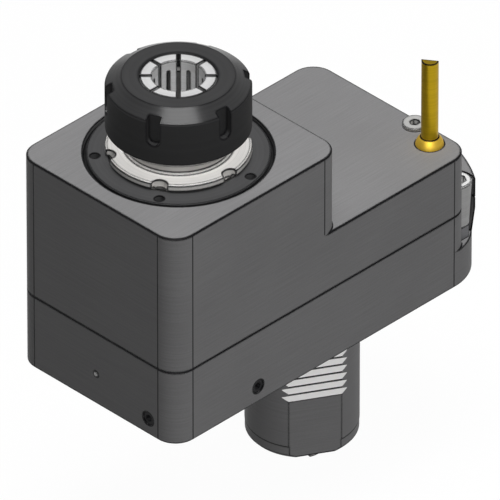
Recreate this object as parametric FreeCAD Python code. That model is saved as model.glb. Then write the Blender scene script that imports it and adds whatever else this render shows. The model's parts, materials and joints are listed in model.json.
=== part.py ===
"""Axial driven tool holder for a lathe turret: a split gear housing on a round toothed shank.

Millimetres. The origin is on the shank's axis at the seating face. +Z points up to the collet, -Y towards the
spindle, +X across the housing. The driving shaft turns on the shank's axis and the tool spindle beside it.
"""

import FreeCAD, Part
import math
import os

V = FreeCAD.Vector

# fits and clearances
seat_play = 0.01
running_play = 0.05
thread_play = 0.04
ball_play = 0.04
cut_reach = 1.0
edge_chamfer = 0.4
parting_chamfer = 0.3
small_chamfer = 0.5

# gear pair, which also sets how far the spindle stands from the shank
gear_module = 2.0
spindle_teeth = 30
drive_teeth = 30
pressure_angle = 20.0
flank_backlash = 0.12
gear_low = 19.0
gear_width = 14.0
gear_pocket_gap = 1.0
gear_end_gap = 2.0
gear_floor_gap = 0.8
web_depth = 2.0
web_rim = 3.0
web_hub = 5.0
root_depth = 1.25
flank_steps = 6
spindle_offset = gear_module * (spindle_teeth + drive_teeth) / 2
spindle_y = -spindle_offset
gear_high = gear_low + gear_width

# housing outline and heights
housing_width = 77.1
spindle_to_front = 40.05
spindle_to_step = 40.6
housing_end = 44.0
corner_radius = 8.5
parting_height = 29.85
deck_height = 53.75
top_height = 85.75
half_width = housing_width / 2
front_y = spindle_y - spindle_to_front
step_y = spindle_y + spindle_to_step

# end lobe with its side notches
lobe_radius = 60.5
lobe_blend = 20.0
lobe_height = 38.0
notch_floor = 14.7
lobe_root = 14.0
flare_width = 1.4
flare_height = 12.5

# alignment bolts in the notches
align_x = 31.5
align_y = 44.2
align_head_radius = 5.0
align_foot_radius = 4.0
align_recess_radius = 5.1
align_nut_flats = 7.2
align_nut_height = 5.2
align_thread_radius = 2.0
align_thread_depth = 9.0
align_hole_spare = 0.5
align_rim = 0.4
align_socket_flats = 5.0
align_socket_depth = 5.0
align_roof_gap = 0.4
notch_wall_y = align_y + align_recess_radius
blend_x = half_width - lobe_blend
blend_y = math.sqrt((lobe_radius - lobe_blend) ** 2 - blend_x**2)
blend_end = math.degrees(math.atan2(blend_y, blend_x))

# shank with its serrated flat
shank_radius = 20.0
shank_length = 60.0
shank_relief = 0.12
shank_relief_length = 4.7
shank_foot_width = 0.95
shank_foot_height = 1.1
flat_direction = -30.0
flat_distance = 17.6
flat_top = -4.4
tooth_pitch = 3.2
tooth_depth = 1.4
lowest_tooth = -36.0
tooth_count = 9
seam_from_flat = -67.5
shank_bore_radius = 11.5
shank_mouth_chamfer = 0.6

# proportions of every bearing, in ball radii
shoulder_share = 0.5
open_shoulder_share = 0.85
cage_height_share = 1.25
cage_wall_share = 0.3
bearing_shoulder = 3.0

# front spindle bearings, an angular contact pair
front_bore_radius = 17.5
front_outer_radius = 31.0
front_width = 14.0
front_ball_radius = 4.0
front_balls = 16
front_low = 46.0
front_middle = front_low + front_width
front_high = front_middle + front_width

# rear spindle bearing
rear_bore_radius = 10.0
rear_outer_radius = 21.0
rear_width = 12.0
rear_ball_radius = 3.2
rear_balls = 9
rear_spacer_width = 1.5
rear_high = gear_low - rear_spacer_width
rear_low = rear_high - rear_width
spring_height = 1.2
spring_thickness = 0.4
spring_waves = 4
points_per_wave = 8
spring_ring_width = 3.0
spring_side_gap = 0.2
spring_low = rear_low - spring_height
rear_end_gap = 0.8

# upper bearing of the driving shaft
upper_bore_radius = 10.0
upper_outer_radius = 21.0
upper_width = 12.0
upper_ball_radius = 3.2
upper_balls = 9
drive_spacer_width = 1.5
spacer_wall = 4.0
upper_low = gear_high + drive_spacer_width
upper_high = upper_low + upper_width
upper_end_gap = 2.1

# lower bearing of the driving shaft, circlips and seal in the shank's end
lower_bore_radius = 8.5
lower_outer_radius = 15.0
lower_width = 7.0
lower_ball_radius = 2.0
lower_balls = 12
lower_high = -44.6
lower_low = lower_high - lower_width
circlip_thickness = 1.2
circlip_seat_depth = 0.5
shaft_circlip_width = 2.0
shank_circlip_width = 2.2
shank_circlip_depth = 0.6
circlip_opening = 4.4
circlip_ear_radius = 1.2
circlip_ear_spacing = 6.4
circlip_hole_radius = 0.5
seal_width = 5.0
seal_gap = 0.2
seal_case = 1.0
seal_lip_width = 1.6
seal_lip_rise = 2.0
seal_lip_opening = 0.6

# spindle
nose_height = 22.05
nose_face = top_height + nose_height
nose_thread_radius = 19.5
nose_thread_length = 9.6
neck_radius = 18.4
spindle_bore_radius = 10.5
spindle_bore_floor = 4.0
spindle_bore_end = front_low + spindle_bore_floor
spindle_collar_radius = 17.0
lock_thread_radius = 17.2
spindle_gear_seat = 15.0
spindle_key_width = 8.0
spindle_key_height = 7.0
spindle_key_length = 11.0
spindle_key_depth = 4.0
key_end_rounding = 0.4
lock_nut_radius = 26.0
lock_nut_width = 8.0
lock_nut_slots = 4
lock_nut_slot_width = 5.0
lock_nut_slot_depth = 2.0
lock_nut_chamfer = 2.0
lock_cavity_gap = 1.5
seat_relief = 0.3

# driving shaft
shaft_radius = 9.6
shaft_collar_radius = 13.5
shaft_collar_width = 5.0
shaft_collar_gap = 1.5
shaft_collar_floor = 0.5
drive_gear_seat = 11.0
drive_key_width = 6.0
drive_key_height = 6.0
drive_key_length = 11.0
drive_key_depth = 3.5
shaft_end_proud = 0.5
tang_length = 7.5
tang_thickness = 5.5
tang_direction = -8.0

# retaining ring over the front bearings
ring_thread_radius = 32.5
ring_face_radius = 31.65
ring_shoulder = 2.0
ring_counterbore_radius = 32.85
ring_lip_radius = 30.6
ring_lip_height = 1.0
ring_lip_width = 3.5
ring_edge = 0.3
ring_bore_radius = 23.9
ring_hole_radius = 1.7
ring_hole_circle = 28.7
ring_hole_depth = 5.0
ring_holes = 5
ring_hole_start = 14.0

# notched labyrinth ring on the spindle
labyrinth_radius = 25.2
labyrinth_gap = 0.85
labyrinth_width = 2.5
labyrinth_low = top_height + labyrinth_gap
labyrinth_high = labyrinth_low + labyrinth_width
labyrinth_hub_radius = 23.6
labyrinth_chamfer_height = 0.4
labyrinth_chamfer_width = 0.8
labyrinth_bead = 0.8
labyrinth_top = labyrinth_high + labyrinth_bead
labyrinth_notch_radius = 2.75
labyrinth_notches = 6
labyrinth_notch_gap = 0.2
labyrinth_groove_depth = 1.0
labyrinth_groove_width = 1.5
labyrinth_foot_step = 2.0
labyrinth_foot_height = 1.6

# collet and its nut
collet_bore_radius = 9.0
collet_face_radius = 13.0
collet_stand = 9.5
collet_face = nose_face + collet_stand
collet_length = 40.0
collet_lip_radius = 15.6
collet_groove_radius = 14.5
collet_groove_width = 2.4
collet_rim_radius = 16.5
collet_rim_width = 1.0
collet_half_angle = 8.0
collet_front_angle = 30.0
collet_slot_width = 1.0
collet_slots = 8
collet_front_web = 4.0
collet_rear_web = 6.0
collet_gap = 0.05
nut_radius = 25.2
nut_length = 22.5
nut_proud = 0.3
nut_cone_height = 3.4
nut_rim_width = 0.8
nut_high = collet_face + nut_proud
nut_low = nut_high - nut_length
nut_rim_high = nut_high - nut_cone_height
nut_rim_low = nut_rim_high - nut_rim_width
nut_rim_radius = 24.9
nut_top_radius = 19.55
nut_opening_radius = 13.7
nut_foot_chamfer = 2.4
nut_mouth_chamfer = 0.8
nut_slots = 6
nut_slot_width = 4.8
nut_slot_depth = 2.5
nut_slot_length = 9.7
nut_slot_start = -5.0
nut_thread_spare = 0.8
nut_thread_end = nose_face + nut_thread_spare
nut_relief_radius = 20.3
nut_relief_width = 1.0
nut_chamber_radius = 17.4
nut_lip_radius = 15.95
nut_lip_offset = 0.95
nut_lip_gap = 0.4
nut_hook_root = 0.5
nut_cone_gap = 0.12

# coolant path and ball nozzle
gallery_x = 25.3
gallery_z = 6.6
gallery_radius = 1.9
gallery_end = 38.5
cross_gallery_radius = 1.5
cross_gallery_y = spindle_y
inlet_y = 30.5
inlet_radius = 2.25
nozzle_x = gallery_x
nozzle_y = 36.6
nozzle_ball_radius = 5.0
nozzle_ball_sink = 0.6
nozzle_socket_play = 0.03
nozzle_tube_radius = 3.0
nozzle_tube_bore = 1.6
nozzle_tube_reach = 35.0
nozzle_tube_top = deck_height + nozzle_tube_reach
nozzle_end_wall = 2.5
nozzle_cut_direction = 125.0
nozzle_cut_angle = 50.0
nozzle_outlet_radius = 1.2
nozzle_mouth_radius = 3.2
nozzle_ring_bore = 2.4
nozzle_ring_height = 4.4
riser_radius = 2.0

# plugs and pins
plug_radius = 2.6
plug_length = 5.0
plug_sink = 0.4
plug_socket_flats = 2.5
plug_socket_depth = 2.0
deck_plug_x = 13.8
deck_plug_y = 41.0
deck_plug_head_radius = 4.5
deck_plug_head_height = 1.2
deck_plug_rim = 0.25
deck_plug_thread_radius = 3.0
deck_plug_length = 7.0
deck_plug_flats = 3.0
deck_plug_socket_depth = 2.2
grease_hole_radius = 1.2
index_pin_radius = 1.15
index_pin_height = 12.6
index_pin_length = 8.0
index_pin_proud = 0.2

# housing screws from below and dowels across the parting
screw_x = 32.3
screw_front_reach = 28.0
screw_middle_y = -30.0
screw_rear_y = 20.0
screw_rows = (spindle_y - screw_front_reach, screw_middle_y, screw_rear_y)
lobe_screw_y = 51.5
screw_radius = 2.5
screw_hole_radius = 2.75
screw_head_radius = 4.25
screw_counterbore_radius = 4.6
screw_head_height = 5.0
screw_head_sink = 1.0
screw_head_chamfer = 0.3
screw_length = 35.0
lobe_screw_length = 30.0
screw_socket_flats = 4.0
screw_socket_depth = 2.5
screw_hole_spare = 0.8
dowel_radius = 3.0
dowel_length = 20.0
dowel_hole_spare = 0.5
dowel_front_x = 26.0
dowel_front_reach = 34.0
dowel_rear_x = -22.0
dowel_rear_y = 39.0
dowel_spots = ((dowel_front_x, spindle_y - dowel_front_reach), (dowel_rear_x, dowel_rear_y))

# o-rings
inlet_oring_radius = 4.2
inlet_oring_section = 0.8
shank_oring_radius = 22.8
shank_oring_section = 1.2
riser_oring_radius = 3.8
riser_oring_section = 0.62
oring_groove_play = 0.05


def cylinder(radius, low, high, x=0.0, y=0.0):
    return Part.makeCylinder(radius, high - low, V(x, y, low))


def tube(outer, inner, low, high, x=0.0, y=0.0):
    return cylinder(outer, low, high, x, y).cut(cylinder(inner, low, high, x, y))


def block(x_low, x_high, y_low, y_high, low, high):
    return Part.makeBox(x_high - x_low, y_high - y_low, high - low, V(x_low, y_low, low))


def turned(outline, x=0.0, y=0.0):
    """A solid of revolution about the upright axis at x, y, from its half section in radius and height."""
    corners = [V(x + radius, y, height) for radius, height in outline]
    section = Part.Face(Part.makePolygon(corners + corners[:1]))
    return section.revolve(V(x, y, 0), V(0, 0, 1), 360)


def hexagon(flats, low, high, x=0.0, y=0.0):
    reach = flats / math.sqrt(3)
    corners = []
    for side in range(7):
        angle = math.radians(60 * side + 30)
        corners.append(V(x + reach * math.cos(angle), y + reach * math.sin(angle), low))
    return Part.Face(Part.makePolygon(corners)).extrude(V(0, 0, high - low))


def around(piece, x, y, count, start=0.0):
    """Copies of a piece turned about the upright axis at x, y in equal steps."""
    copies = []
    for number in range(count):
        copy = piece.copy()
        copy.rotate(V(x, y, 0), V(0, 0, 1), start + 360.0 * number / count)
        copies.append(copy)
    return copies


def laid(piece, point, direction):
    """A piece made upright at the origin, turned to point along a direction and moved to a point."""
    copy = piece.copy()
    copy.Placement = FreeCAD.Placement(point, FreeCAD.Rotation(V(0, 0, 1), direction))
    return copy


def mirrored(piece):
    return piece.mirror(V(0, 0, 0), V(1, 0, 0))


def both_sides(piece):
    return [piece, mirrored(piece)]


def level_edges(solid, height):
    """The solid's edges that lie flat at one height."""
    edges = []
    for edge in solid.Edges:
        box = edge.BoundBox
        if box.ZLength < 1e-6 and abs(box.ZMin - height) < 1e-6:
            edges.append(edge)
    return edges


def prism(outline, low, high, low_chamfer=0.0, high_chamfer=0.0):
    """An outline raised from low to high, with a chamfer round its lower or upper edge."""
    solid = Part.Face(outline).extrude(V(0, 0, high - low))
    solid.translate(V(0, 0, low))
    for height, size in ((low, low_chamfer), (high, high_chamfer)):
        if size > 0:
            solid = solid.makeChamfer(size, level_edges(solid, height))
    return solid


def line(x_from, y_from, x_to, y_to):
    return Part.makeLine(V(x_from, y_from, 0), V(x_to, y_to, 0))


def corner_arc(x, y, radius, from_angle, to_angle):
    """A flat arc about x, y between two angles in degrees."""
    points = []
    for angle in (from_angle, (from_angle + to_angle) / 2, to_angle):
        turn = math.radians(angle)
        points.append(V(x + radius * math.cos(turn), y + radius * math.sin(turn), 0))
    return Part.Arc(*points).toShape()


def rounded_rectangle(y_low, y_high):
    side = half_width - corner_radius
    low = y_low + corner_radius
    high = y_high - corner_radius
    return Part.Wire([
        line(-side, y_low, side, y_low),
        corner_arc(side, low, corner_radius, -90, 0),
        line(half_width, low, half_width, high),
        corner_arc(side, high, corner_radius, 0, 90),
        line(side, y_high, -side, y_high),
        corner_arc(-side, high, corner_radius, 90, 180),
        line(-half_width, high, -half_width, low),
        corner_arc(-side, low, corner_radius, 180, 270),
    ])


def base_foot_outline():
    """The foot of the base: square with round corners in front, a round lobe at the other end."""
    side = half_width - corner_radius
    low = front_y + corner_radius
    return Part.Wire([
        line(-side, front_y, side, front_y),
        corner_arc(side, low, corner_radius, -90, 0),
        line(half_width, low, half_width, blend_y),
        corner_arc(blend_x, blend_y, lobe_blend, 0, blend_end),
        corner_arc(0, 0, lobe_radius, blend_end, 180 - blend_end),
        corner_arc(-blend_x, blend_y, lobe_blend, 180 - blend_end, 180),
        line(-half_width, blend_y, -half_width, low),
        corner_arc(-side, low, corner_radius, 180, 270),
    ])


def lobe_outline():
    """The lobe above the notch floor: the round end, cut off square at the notches' outer wall."""
    side = math.sqrt(lobe_radius**2 - notch_wall_y**2)
    end = math.degrees(math.atan2(notch_wall_y, side))
    root = housing_end - lobe_root
    return Part.Wire([
        line(-side, root, side, root),
        line(side, root, side, notch_wall_y),
        corner_arc(0, 0, lobe_radius, end, 180 - end),
        line(-side, notch_wall_y, -side, root),
    ])


def lobe_flares():
    """What is cut off the lobe's corners, so that they flare up from the foot's rounder corners."""
    place = V(blend_x, blend_y, notch_floor)
    flare = Part.makeCone(lobe_blend, lobe_blend + flare_width, flare_height, place)
    blend_end_x = lobe_radius * math.cos(math.radians(blend_end))
    flare_high = notch_floor + flare_height
    corner = block(blend_end_x, lobe_radius, housing_end, lobe_radius, notch_floor, flare_high)
    return both_sides(corner.cut(flare))


def notches():
    """Both side notches of the lobe, with the round recesses that hold the alignment bolts."""
    slot = block(align_x, half_width + corner_radius, housing_end, notch_wall_y, notch_floor, top_height)
    recess = cylinder(align_recess_radius, notch_floor, lobe_height + align_roof_gap, align_x, align_y)
    return both_sides(slot) + both_sides(recess)


def screw_spots():
    """Each housing screw's place and length."""
    spots = []
    for y in screw_rows:
        spots.append((screw_x, y, screw_length))
        spots.append((-screw_x, y, screw_length))
    spots.append((0.0, lobe_screw_y, lobe_screw_length))
    return spots


screw_seat = screw_head_sink + screw_head_height
ball_centre = deck_height - nozzle_ball_sink
nozzle_ring_high = ball_centre - nozzle_ball_radius + nozzle_ring_height / 2
nozzle_ring_low = nozzle_ring_high - nozzle_ring_height
gear_radius = gear_module * spindle_teeth / 2
drive_gear_radius = gear_module * drive_teeth / 2
spindle_pocket = gear_radius + gear_module + gear_pocket_gap
drive_pocket = drive_gear_radius + gear_module + gear_pocket_gap
pocket_floor = gear_low - gear_floor_gap
pocket_roof = gear_high + gear_end_gap
shaft_end = upper_high + circlip_thickness + small_chamfer
spindle_end = rear_low - circlip_thickness - small_chamfer
align_low = notch_floor + align_nut_height


def front_spindle_cavity():
    """The stepped hole for the front bearings, their lock nut and the retaining ring."""
    ring_thread_low = front_high + small_chamfer
    return [
        cylinder(lock_nut_radius + lock_cavity_gap, pocket_roof, front_low, 0, spindle_y),
        cylinder(front_outer_radius + seat_play, front_low, ring_thread_low, 0, spindle_y),
        cylinder(ring_thread_radius + thread_play, ring_thread_low, top_height - ring_shoulder, 0, spindle_y),
        cylinder(ring_counterbore_radius, top_height - ring_shoulder, top_height + cut_reach, 0, spindle_y),
    ]


def gear_pockets(low, high):
    return [
        cylinder(spindle_pocket, low, high, 0, spindle_y),
        cylinder(drive_pocket, low, high),
    ]


def nozzle_socket():
    """The ball's socket, its mouth closed in past the ball's middle, over the riser."""
    radius = nozzle_ball_radius + nozzle_socket_play
    ball = Part.makeSphere(radius, V(nozzle_x, nozzle_y, ball_centre))
    well = cylinder(radius, nozzle_ring_low, ball_centre, nozzle_x, nozzle_y)
    return [ball, well, cylinder(riser_radius, parting_height, nozzle_ring_low, nozzle_x, nozzle_y)]


def deck_plug_holes():
    """The tapped hole under the deck plug and the slanting grease hole from it to the gears."""
    bottom = deck_height - deck_plug_length
    tapped = cylinder(
        deck_plug_thread_radius + seat_play, bottom - cut_reach, deck_height, deck_plug_x, deck_plug_y
    )
    start = V(deck_plug_x, deck_plug_y, bottom)
    inside = drive_pocket - 2 * cut_reach
    reach = math.hypot(deck_plug_x, deck_plug_y)
    end = V(deck_plug_x * inside / reach, deck_plug_y * inside / reach, pocket_roof - cut_reach)
    slant = end - start
    return [tapped, Part.makeCylinder(grease_hole_radius, slant.Length, start, slant)]


def make_upper_housing():
    low_part = prism(
        rounded_rectangle(front_y, housing_end), parting_height, deck_height, parting_chamfer, edge_chamfer
    )
    tall_part = prism(
        rounded_rectangle(front_y, step_y), parting_height, top_height, parting_chamfer, edge_chamfer
    )
    lobe = prism(lobe_outline(), parting_height, lobe_height, parting_chamfer, edge_chamfer)
    body = low_part.fuse([tall_part, lobe]).removeSplitter()
    cuts = notches() + front_spindle_cavity() + gear_pockets(parting_height, pocket_roof)
    cuts += nozzle_socket() + deck_plug_holes()
    cuts.append(cylinder(upper_outer_radius + seat_play, gear_high, upper_high))
    cuts.append(cylinder(upper_outer_radius - bearing_shoulder, upper_high, upper_high + upper_end_gap))
    for x, y, length in screw_spots():
        top = screw_seat + length + screw_hole_spare
        cuts.append(cylinder(screw_radius + seat_play, parting_height, top, x, y))
    for x, y in dowel_spots:
        high = parting_height + dowel_length / 2 + dowel_hole_spare
        cuts.append(cylinder(dowel_radius + seat_play, parting_height, high, x, y))
    return body.cut(cuts)


def shank_teeth():
    """The flat on the shank and the V grooves across it."""
    outside = shank_radius + cut_reach
    flat = block(flat_distance, outside, -outside, outside, -shank_length - cut_reach, flat_top)
    cuts = [flat]
    for number in range(tooth_count):
        low = lowest_tooth + number * tooth_pitch
        groove = [
            V(flat_distance + cut_reach, -outside, low - cut_reach),
            V(flat_distance - tooth_depth, -outside, low + tooth_depth),
            V(flat_distance + cut_reach, -outside, low + 2 * tooth_depth + cut_reach),
        ]
        face = Part.Face(Part.makePolygon(groove + groove[:1]))
        cuts.append(face.extrude(V(0, 2 * outside, 0)))
    for cut in cuts:
        cut.rotate(V(0, 0, 0), V(0, 0, 1), flat_direction)
    return cuts


def make_shank():
    """The round shank, slightly relieved over its foot, with its wall's seam turned clear of the flat."""
    low = -shank_length
    relief_high = low + shank_relief_length
    relief_radius = shank_radius - shank_relief
    outline = [
        (0, parting_chamfer),
        (shank_radius, parting_chamfer),
        (shank_radius, relief_high),
        (relief_radius, relief_high),
        (relief_radius, low + shank_foot_height),
        (relief_radius - shank_foot_width, low),
        (0, low),
    ]
    shank = turned(outline)
    shank.rotate(V(0, 0, 0), V(0, 0, 1), flat_direction + seam_from_flat)
    return shank.cut(shank_teeth())


def shank_bores():
    """The stepped bore through the shank for the driving shaft, its bearing, circlip and seal."""
    wide = lower_outer_radius + seat_play
    mouth = -shank_length
    collar_room = shaft_collar_radius + shaft_collar_gap
    circlip_low = lower_low - circlip_thickness
    chamfer = Part.makeCone(wide + shank_mouth_chamfer, wide, shank_mouth_chamfer, V(0, 0, mouth))
    return [
        chamfer,
        cylinder(wide, mouth, lower_high),
        cylinder(lower_outer_radius + shank_circlip_depth, circlip_low, lower_low),
        cylinder(shank_bore_radius, lower_high, pocket_floor),
        cylinder(collar_room, gear_low - shaft_collar_width - shaft_collar_floor, pocket_floor),
    ]


def galleries():
    """The coolant drillings in the base, with the tapped holes for their plugs."""
    long_drilling = Part.makeCylinder(
        gallery_radius, gallery_end - front_y, V(gallery_x, front_y, gallery_z), V(0, 1, 0)
    )
    cross_drilling = Part.makeCylinder(
        cross_gallery_radius, half_width - gallery_x, V(gallery_x, cross_gallery_y, gallery_z), V(1, 0, 0)
    )
    tapped = cylinder(plug_radius + seat_play, 0, plug_length + plug_sink)
    return [
        long_drilling,
        cross_drilling,
        laid(tapped, V(gallery_x, front_y, gallery_z), V(0, 1, 0)),
        laid(tapped, V(half_width, cross_gallery_y, gallery_z), V(-1, 0, 0)),
        cylinder(inlet_radius, 0, gallery_z, gallery_x, inlet_y),
        cylinder(riser_radius, gallery_z, parting_height, nozzle_x, nozzle_y),
    ]


def oring_groove(radius, section, low, high, x=0.0, y=0.0):
    reach = section + oring_groove_play
    return tube(radius + reach, radius - reach, low, high, x, y)


def oring_grooves():
    inlet_depth = 2 * inlet_oring_section + oring_groove_play
    shank_depth = 2 * shank_oring_section + oring_groove_play
    riser_depth = 2 * riser_oring_section + oring_groove_play
    return [
        oring_groove(inlet_oring_radius, inlet_oring_section, 0, inlet_depth, gallery_x, inlet_y),
        oring_groove(shank_oring_radius, shank_oring_section, 0, shank_depth),
        oring_groove(
            riser_oring_radius, riser_oring_section, parting_height - riser_depth, parting_height,
            nozzle_x, nozzle_y,
        ),
    ]


def make_base_housing():
    foot = prism(base_foot_outline(), 0, notch_floor, edge_chamfer, 0)
    walls = prism(
        rounded_rectangle(front_y, housing_end), notch_floor / 2, parting_height, 0, parting_chamfer
    )
    lobe = prism(lobe_outline(), notch_floor, parting_height, 0, parting_chamfer)
    body = foot.fuse([walls, lobe, make_shank()]).removeSplitter()
    cuts = notches() + lobe_flares() + shank_bores() + galleries() + oring_grooves()
    cuts += gear_pockets(pocket_floor, parting_height)
    cuts.append(cylinder(rear_outer_radius + seat_play, spring_low, pocket_floor, 0, spindle_y))
    end_room = rear_outer_radius - spring_ring_width - bearing_shoulder
    cuts.append(cylinder(end_room, spindle_end - rear_end_gap, spring_low, 0, spindle_y))
    for x, y, length in screw_spots():
        cuts.append(cylinder(screw_counterbore_radius, 0, screw_seat, x, y))
        cuts.append(cylinder(screw_hole_radius, screw_seat, parting_height, x, y))
    for x, y in dowel_spots:
        low = parting_height - dowel_length / 2 - dowel_hole_spare
        cuts.append(cylinder(dowel_radius + seat_play, low, parting_height, x, y))
    thread_low = notch_floor - align_thread_depth - align_hole_spare
    cuts += both_sides(cylinder(align_thread_radius + seat_play, thread_low, notch_floor, align_x, align_y))
    pin_hole = cylinder(index_pin_radius + seat_play, 0, index_pin_length - index_pin_proud)
    cuts.append(laid(pin_hole, V(0, front_y, index_pin_height), V(0, 1, 0)))
    return body.cut(cuts)


def make_retaining_ring():
    shoulder = top_height - ring_shoulder
    slope = ring_thread_radius - ring_face_radius
    lip_high = front_high + ring_lip_height
    outline = [
        (ring_bore_radius, top_height - ring_edge),
        (ring_bore_radius + ring_edge, top_height),
        (ring_face_radius - ring_edge, top_height),
        (ring_face_radius, top_height - ring_edge),
        (ring_face_radius, shoulder + slope),
        (ring_thread_radius, shoulder),
        (ring_thread_radius, lip_high),
        (ring_lip_radius, lip_high),
        (ring_lip_radius, front_high),
        (ring_lip_radius - ring_lip_width, front_high),
        (ring_lip_radius - ring_lip_width, lip_high),
        (ring_bore_radius, lip_high),
    ]
    hole = cylinder(ring_hole_radius, top_height - ring_hole_depth, top_height, ring_hole_circle, spindle_y)
    return turned(outline, 0, spindle_y).cut(around(hole, 0, spindle_y, ring_holes, ring_hole_start))


def make_labyrinth_ring():
    bore = front_bore_radius + seat_play
    bead_foot = neck_radius + labyrinth_bead
    outline = [
        (bore, front_high),
        (labyrinth_hub_radius - labyrinth_foot_step, front_high),
        (labyrinth_hub_radius - labyrinth_foot_step, front_high + labyrinth_foot_height),
        (labyrinth_hub_radius, front_high + labyrinth_foot_height),
        (labyrinth_hub_radius, labyrinth_low),
        (labyrinth_radius, labyrinth_low),
        (labyrinth_radius, labyrinth_high - labyrinth_chamfer_height),
        (labyrinth_radius - labyrinth_chamfer_width, labyrinth_high),
        (bead_foot, labyrinth_high),
        (neck_radius, labyrinth_top),
        (bore, labyrinth_top),
    ]
    ring = turned(outline, 0, spindle_y)
    notch = cylinder(
        labyrinth_notch_radius, top_height + labyrinth_notch_gap, labyrinth_high, labyrinth_radius, spindle_y
    )
    cuts = around(notch, 0, spindle_y, labyrinth_notches)
    middle = (front_high + top_height) / 2
    for low in (middle, middle + 2 * labyrinth_groove_width):
        inner = labyrinth_hub_radius - labyrinth_groove_depth
        cuts.append(tube(labyrinth_hub_radius, inner, low, low + labyrinth_groove_width, 0, spindle_y))
    return ring.cut(cuts)


def collet_taper_radius(height):
    """The collet's tapered radius at a height."""
    rim_low = collet_face - collet_front_height() - collet_groove_width - collet_rim_width
    return collet_rim_radius - (rim_low - height) * math.tan(math.radians(collet_half_angle))


def collet_front_height():
    return (collet_lip_radius - collet_face_radius) / math.tan(math.radians(collet_front_angle))


def circlip_groove(seat, low, y=0.0):
    return tube(seat + cut_reach, seat - circlip_seat_depth, low, low + circlip_thickness, 0, y)


def make_spindle():
    collet_rear = collet_face - collet_length
    thread_low = nose_face - nose_thread_length
    lock_low = front_low - lock_nut_width - small_chamfer
    mouth = collet_taper_radius(nose_face) + collet_gap
    taper_end = collet_taper_radius(collet_rear - small_chamfer) + collet_gap
    outline = [
        (0, spindle_end),
        (rear_bore_radius - small_chamfer, spindle_end),
        (rear_bore_radius, spindle_end + small_chamfer),
        (rear_bore_radius, gear_low + seat_relief),
        (spindle_gear_seat, gear_low + seat_relief),
        (spindle_gear_seat, gear_high),
        (spindle_collar_radius, gear_high),
        (spindle_collar_radius, lock_low),
        (lock_thread_radius, lock_low),
        (lock_thread_radius, front_low),
        (front_bore_radius, front_low),
        (front_bore_radius, labyrinth_top),
        (neck_radius, labyrinth_top),
        (neck_radius, thread_low - small_chamfer),
        (nose_thread_radius - small_chamfer, thread_low - small_chamfer),
        (nose_thread_radius, thread_low),
        (nose_thread_radius, nose_face - small_chamfer),
        (nose_thread_radius - small_chamfer, nose_face),
        (mouth, nose_face),
        (taper_end, collet_rear - small_chamfer),
        (spindle_bore_radius, collet_rear - small_chamfer),
        (spindle_bore_radius, spindle_bore_end),
        (0, spindle_bore_end - spindle_bore_radius / math.sqrt(3)),
    ]
    groove = circlip_groove(rear_bore_radius, rear_low - circlip_thickness, spindle_y)
    keyway = key_block(spindle_gear_seat, spindle_key_depth, spindle_key_width, spindle_key_length)
    keyway.translate(V(0, spindle_y, 0))
    return turned(outline, 0, spindle_y).cut([groove, keyway])


def key_block(seat_radius, depth, width, length, height=None, play=seat_play):
    """A parallel key's space on a shaft, on the -Y side, centred on the gear's width."""
    middle = (gear_low + gear_high) / 2
    inner = seat_radius - depth
    outer = seat_radius + cut_reach if height is None else inner + height
    return block(
        -width / 2 - play, width / 2 + play, -outer - play, -inner + play,
        middle - length / 2 - play, middle + length / 2 + play,
    )


def make_key(seat_radius, depth, width, height, length, y):
    key = key_block(seat_radius, depth, width, length, height, 0.0)
    upright = [e for e in key.Edges if e.BoundBox.YLength > height / 2]
    key = key.makeFillet(width * key_end_rounding, upright)
    key.translate(V(0, y, 0))
    return key


def involute_flank(base, start, tip, centre, half_base_angle, side):
    """One tooth flank: a smooth curve from start radius to tip, on one side of the tooth's centre."""
    points = []
    for step in range(flank_steps + 1):
        radius = start + (tip - start) * step / flank_steps
        roll = math.sqrt(max((radius / base) ** 2 - 1, 0))
        angle = centre + side * (half_base_angle - (roll - math.atan(roll)))
        points.append(V(radius * math.cos(angle), radius * math.sin(angle), 0))
    curve = Part.BSplineCurve()
    curve.interpolate(points)
    return curve.toShape()


def ring_point(radius, angle):
    return V(radius * math.cos(angle), radius * math.sin(angle), 0)


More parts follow.
